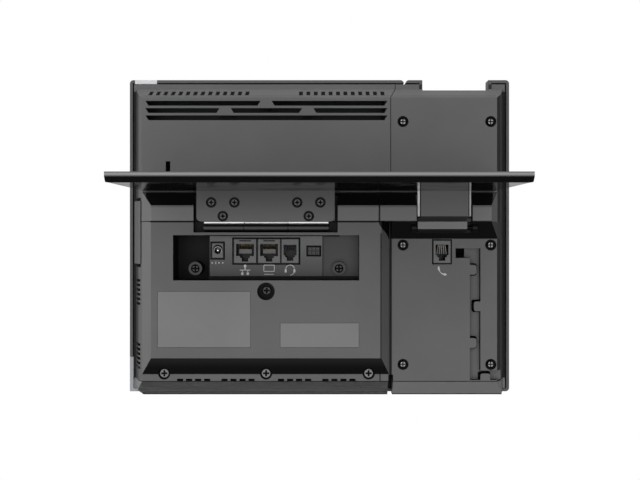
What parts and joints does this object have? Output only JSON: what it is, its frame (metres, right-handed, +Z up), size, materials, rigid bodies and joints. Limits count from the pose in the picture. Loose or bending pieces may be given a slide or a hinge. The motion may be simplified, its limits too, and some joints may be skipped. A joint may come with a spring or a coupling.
{
  "type": "desk phone",
  "caption": "Corded desk phone with large display, keypad and side handset cradle, tilted back on a hinged stand; ports sit in a recess in the raised back.",
  "frame": {"origin": "middle of the chin's contact facet on the desk, halfway across the body", "axes": "+Z up from the desk, +X to the right seen from the front, -Y towards the user; the desk is Z = 0"},
  "size_m": [0.26, 0.2034, 0.1596],
  "materials": {
    "housing": "fine textured moulded plastic, charcoal",
    "cover": "fine textured moulded plastic, charcoal",
    "under_gloss": "polished black plastic",
    "rubber_black": "soft matt rubber",
    "silicone": "silicone keypad mat",
    "hinge_steel": "plated steel",
    "screw_black": "black zinc screws",
    "socket_black": "moulded socket plastic",
    "panel": "fine textured plastic",
    "label": "blank matt label",
    "light_pipe": "frosted light pipe",
    "trim": "satin blue grey trim",
    "screen_glass": "black printed cover glass",
    "lcd": "display module",
    "board": "solder mask",
    "brass_parts": "plain brass",
    "key": "satin key caps",
    "key_light": "satin key caps, lighter",
    "speaker": "speaker frame",
    "handset": "fine textured moulded plastic, charcoal"
  },
  "bodies": {
    "base": {"front_housing": "housing", "cradle_front_housing": "housing", "upper_rear_cover": "cover", "lower_rear_cover": "cover", "cradle_rear_cover": "cover", "side_accessory_cover": "cover", "status_light": "light_pipe", "corner_trim": "trim", "rear_labels": "label", "main_cover_screws": "screw_black", "cradle_screws": "screw_black", "port_panel": "panel", "network_jack": "socket_black", "pc_jack": "socket_black", "headset_jack": "socket_black", "handset_jack": "socket_black", "power_jack": "socket_black", "expansion_connector": "socket_black", "display_glass": "screen_glass", "display_module": "lcd", "main_board": "board", "keypad_mat": "silicone", "port_board": "board", "board_standoffs": "brass_parts", "loudspeaker": "speaker", "hook_switch": "socket_black", "hinge_leaf_body": "hinge_steel", "hinge_pin": "hinge_steel", "side_hinge_pin": "hinge_steel"},
    "handset": {"handset_back": "handset", "handset_face": "handset", "handset_receiver": "speaker", "handset_microphone": "speaker"},
    "hook": {"hook_plunger": "key_light"},
    "stand": {"stand_plate": "cover", "stand_under_cover": "under_gloss", "stand_foot": "rubber_black", "hinge_leaf_stand": "hinge_steel", "hinge_screws": "screw_black"},
    "digit_1": {"dial_key_1": "key"},
    "digit_2": {"dial_key_2": "key"},
    "digit_3": {"dial_key_3": "key"},
    "digit_4": {"dial_key_4": "key"},
    "digit_5": {"dial_key_5": "key"},
    "digit_6": {"dial_key_6": "key"},
    "digit_7": {"dial_key_7": "key"},
    "digit_8": {"dial_key_8": "key"},
    "digit_9": {"dial_key_9": "key"},
    "digit_star": {"dial_key_star": "key"},
    "digit_0": {"dial_key_0": "key"},
    "digit_hash": {"dial_key_hash": "key"},
    "hold_button": {"hold_key": "key"},
    "headset_button": {"headset_key": "key"},
    "transfer_button": {"transfer_key": "key"},
    "mute_button": {"mute_key": "key"},
    "message_button": {"message_key": "key"},
    "speaker_button": {"speaker_key": "key"},
    "select_button": {"select_key": "key"},
    "nav_rocker": {"nav_ring": "key_light"},
    "volume": {"volume_rocker": "key_light"}
  },
  "joints": [
    {"name": "handset_lift", "type": "slide", "parent": "base", "child": "handset", "axis": [0, -0.656, 0.7547], "range_m": [0, 0.06]},
    {"name": "hook_travel", "type": "slide", "parent": "base", "child": "hook", "axis": [0, -0.656, 0.7547], "range_m": [0, 0.004]},
    {"name": "stand_fold", "type": "hinge", "parent": "base", "child": "stand", "pos_m": [0.0351, 0.08811, 0.06268], "axis": [-1, 0, 0], "range_deg": [0, 90]},
    {"name": "digit_1_press", "type": "slide", "parent": "base", "child": "digit_1", "axis": [0, 0.656, -0.7547], "range_m": [0, 0.0012], "stiffness_N_per_m": 600, "springref_m": -0.0006},
    {"name": "digit_2_press", "type": "slide", "parent": "base", "child": "digit_2", "axis": [0, 0.656, -0.7547], "range_m": [0, 0.0012], "stiffness_N_per_m": 600, "springref_m": -0.0006},
    {"name": "digit_3_press", "type": "slide", "parent": "base", "child": "digit_3", "axis": [0, 0.656, -0.7547], "range_m": [0, 0.0012], "stiffness_N_per_m": 600, "springref_m": -0.0006},
    {"name": "digit_4_press", "type": "slide", "parent": "base", "child": "digit_4", "axis": [0, 0.656, -0.7547], "range_m": [0, 0.0012], "stiffness_N_per_m": 600, "springref_m": -0.0006},
    {"name": "digit_5_press", "type": "slide", "parent": "base", "child": "digit_5", "axis": [0, 0.656, -0.7547], "range_m": [0, 0.0012], "stiffness_N_per_m": 600, "springref_m": -0.0006},
    {"name": "digit_6_press", "type": "slide", "parent": "base", "child": "digit_6", "axis": [0, 0.656, -0.7547], "range_m": [0, 0.0012], "stiffness_N_per_m": 600, "springref_m": -0.0006},
    {"name": "digit_7_press", "type": "slide", "parent": "base", "child": "digit_7", "axis": [0, 0.656, -0.7547], "range_m": [0, 0.0012], "stiffness_N_per_m": 600, "springref_m": -0.0006},
    {"name": "digit_8_press", "type": "slide", "parent": "base", "child": "digit_8", "axis": [0, 0.656, -0.7547], "range_m": [0, 0.0012], "stiffness_N_per_m": 600, "springref_m": -0.0006},
    {"name": "digit_9_press", "type": "slide", "parent": "base", "child": "digit_9", "axis": [0, 0.656, -0.7547], "range_m": [0, 0.0012], "stiffness_N_per_m": 600, "springref_m": -0.0006},
    {"name": "digit_star_press", "type": "slide", "parent": "base", "child": "digit_star", "axis": [0, 0.656, -0.7547], "range_m": [0, 0.0012], "stiffness_N_per_m": 600, "springref_m": -0.0006},
    {"name": "digit_0_press", "type": "slide", "parent": "base", "child": "digit_0", "axis": [0, 0.656, -0.7547], "range_m": [0, 0.0012], "stiffness_N_per_m": 600, "springref_m": -0.0006},
    {"name": "digit_hash_press", "type": "slide", "parent": "base", "child": "digit_hash", "axis": [0, 0.656, -0.7547], "range_m": [0, 0.0012], "stiffness_N_per_m": 600, "springref_m": -0.0006},
    {"name": "hold_key_press", "type": "slide", "parent": "base", "child": "hold_button", "axis": [0, 0.656, -0.7547], "range_m": [0, 0.0012], "stiffness_N_per_m": 600, "springref_m": -0.0006},
    {"name": "headset_key_press", "type": "slide", "parent": "base", "child": "headset_button", "axis": [0, 0.656, -0.7547], "range_m": [0, 0.0012], "stiffness_N_per_m": 600, "springref_m": -0.0006},
    {"name": "transfer_key_press", "type": "slide", "parent": "base", "child": "transfer_button", "axis": [0, 0.656, -0.7547], "range_m": [0, 0.0012], "stiffness_N_per_m": 600, "springref_m": -0.0006},
    {"name": "mute_key_press", "type": "slide", "parent": "base", "child": "mute_button", "axis": [0, 0.656, -0.7547], "range_m": [0, 0.0012], "stiffness_N_per_m": 600, "springref_m": -0.0006},
    {"name": "message_key_press", "type": "slide", "parent": "base", "child": "message_button", "axis": [0, 0.656, -0.7547], "range_m": [0, 0.0012], "stiffness_N_per_m": 600, "springref_m": -0.0006},
    {"name": "speaker_key_press", "type": "slide", "parent": "base", "child": "speaker_button", "axis": [0, 0.656, -0.7547], "range_m": [0, 0.0012], "stiffness_N_per_m": 600, "springref_m": -0.0006},
    {"name": "select_key_press", "type": "slide", "parent": "base", "child": "select_button", "axis": [0, 0.656, -0.7547], "range_m": [0, 0.001], "stiffness_N_per_m": 600, "springref_m": -0.0006},
    {"name": "nav_tilt", "type": "hinge", "parent": "base", "child": "nav_rocker", "pos_m": [0.0516, 0.03446, 0.0546], "axis": [1, 0, 0], "range_deg": [-1.5, 1.5], "stiffness_Nm_per_rad": 0.5},
    {"name": "volume_tilt", "type": "hinge", "parent": "base", "child": "volume", "pos_m": [0.0516, 0.01031, 0.0336], "axis": [0, 0.7547, 0.656], "range_deg": [-1.5, 1.5], "stiffness_Nm_per_rad": 0.5}
  ],
  "couplings": [
    {"joint": "hook_travel", "follows": "handset_lift", "ratio": 0.06666}
  ]
}
